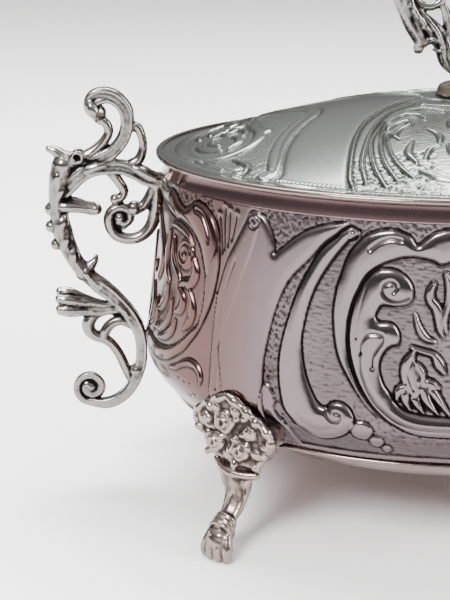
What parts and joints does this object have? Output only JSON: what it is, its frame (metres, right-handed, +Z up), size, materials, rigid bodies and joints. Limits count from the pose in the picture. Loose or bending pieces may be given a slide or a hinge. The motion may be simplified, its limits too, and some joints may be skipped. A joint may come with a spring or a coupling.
{
  "type": "silver sugar bowl",
  "caption": "Oval chased silver bowl on cast paw feet, with cast scroll handles at its ends and a lift-off domed lid with a scroll finial.",
  "frame": {"origin": "on the table under the middle of the bowl", "axes": "+X along the bowl to the right handle, -Y to the front, +Z up through the finial"},
  "size_m": [0.2244, 0.131, 0.1522],
  "materials": {
    "sheet_silver": "polished sheet silver, chased, with darkened recesses",
    "lid_silver": "polished sheet silver, chased, with darkened recesses",
    "cast_silver": "cast silver, oxidised in the recesses and polished on the high parts",
    "drawn_wire": "polished drawn wire",
    "plated_steel": "plated screw hardware"
  },
  "bodies": {
    "bowl": {"bowl_wall": "sheet_silver", "bowl_bottom": "sheet_silver", "neck_band": "sheet_silver", "border_wire": "drawn_wire", "handle_left": "cast_silver", "handle_right": "cast_silver", "foot_front_left": "cast_silver", "foot_front_right": "cast_silver", "foot_back_left": "cast_silver", "foot_back_right": "cast_silver"},
    "lid": {"lid_dome": "lid_silver", "lid_edge_wire": "drawn_wire", "lid_collar": "sheet_silver", "finial_boss": "sheet_silver", "finial": "cast_silver", "finial_stud": "plated_steel", "finial_washer": "plated_steel", "finial_nut": "plated_steel"}
  },
  "joints": [
    {"name": "lid_lift", "type": "slide", "parent": "bowl", "child": "lid", "axis": [0, 0, 1], "range_m": [0, 0.045]}
  ]
}
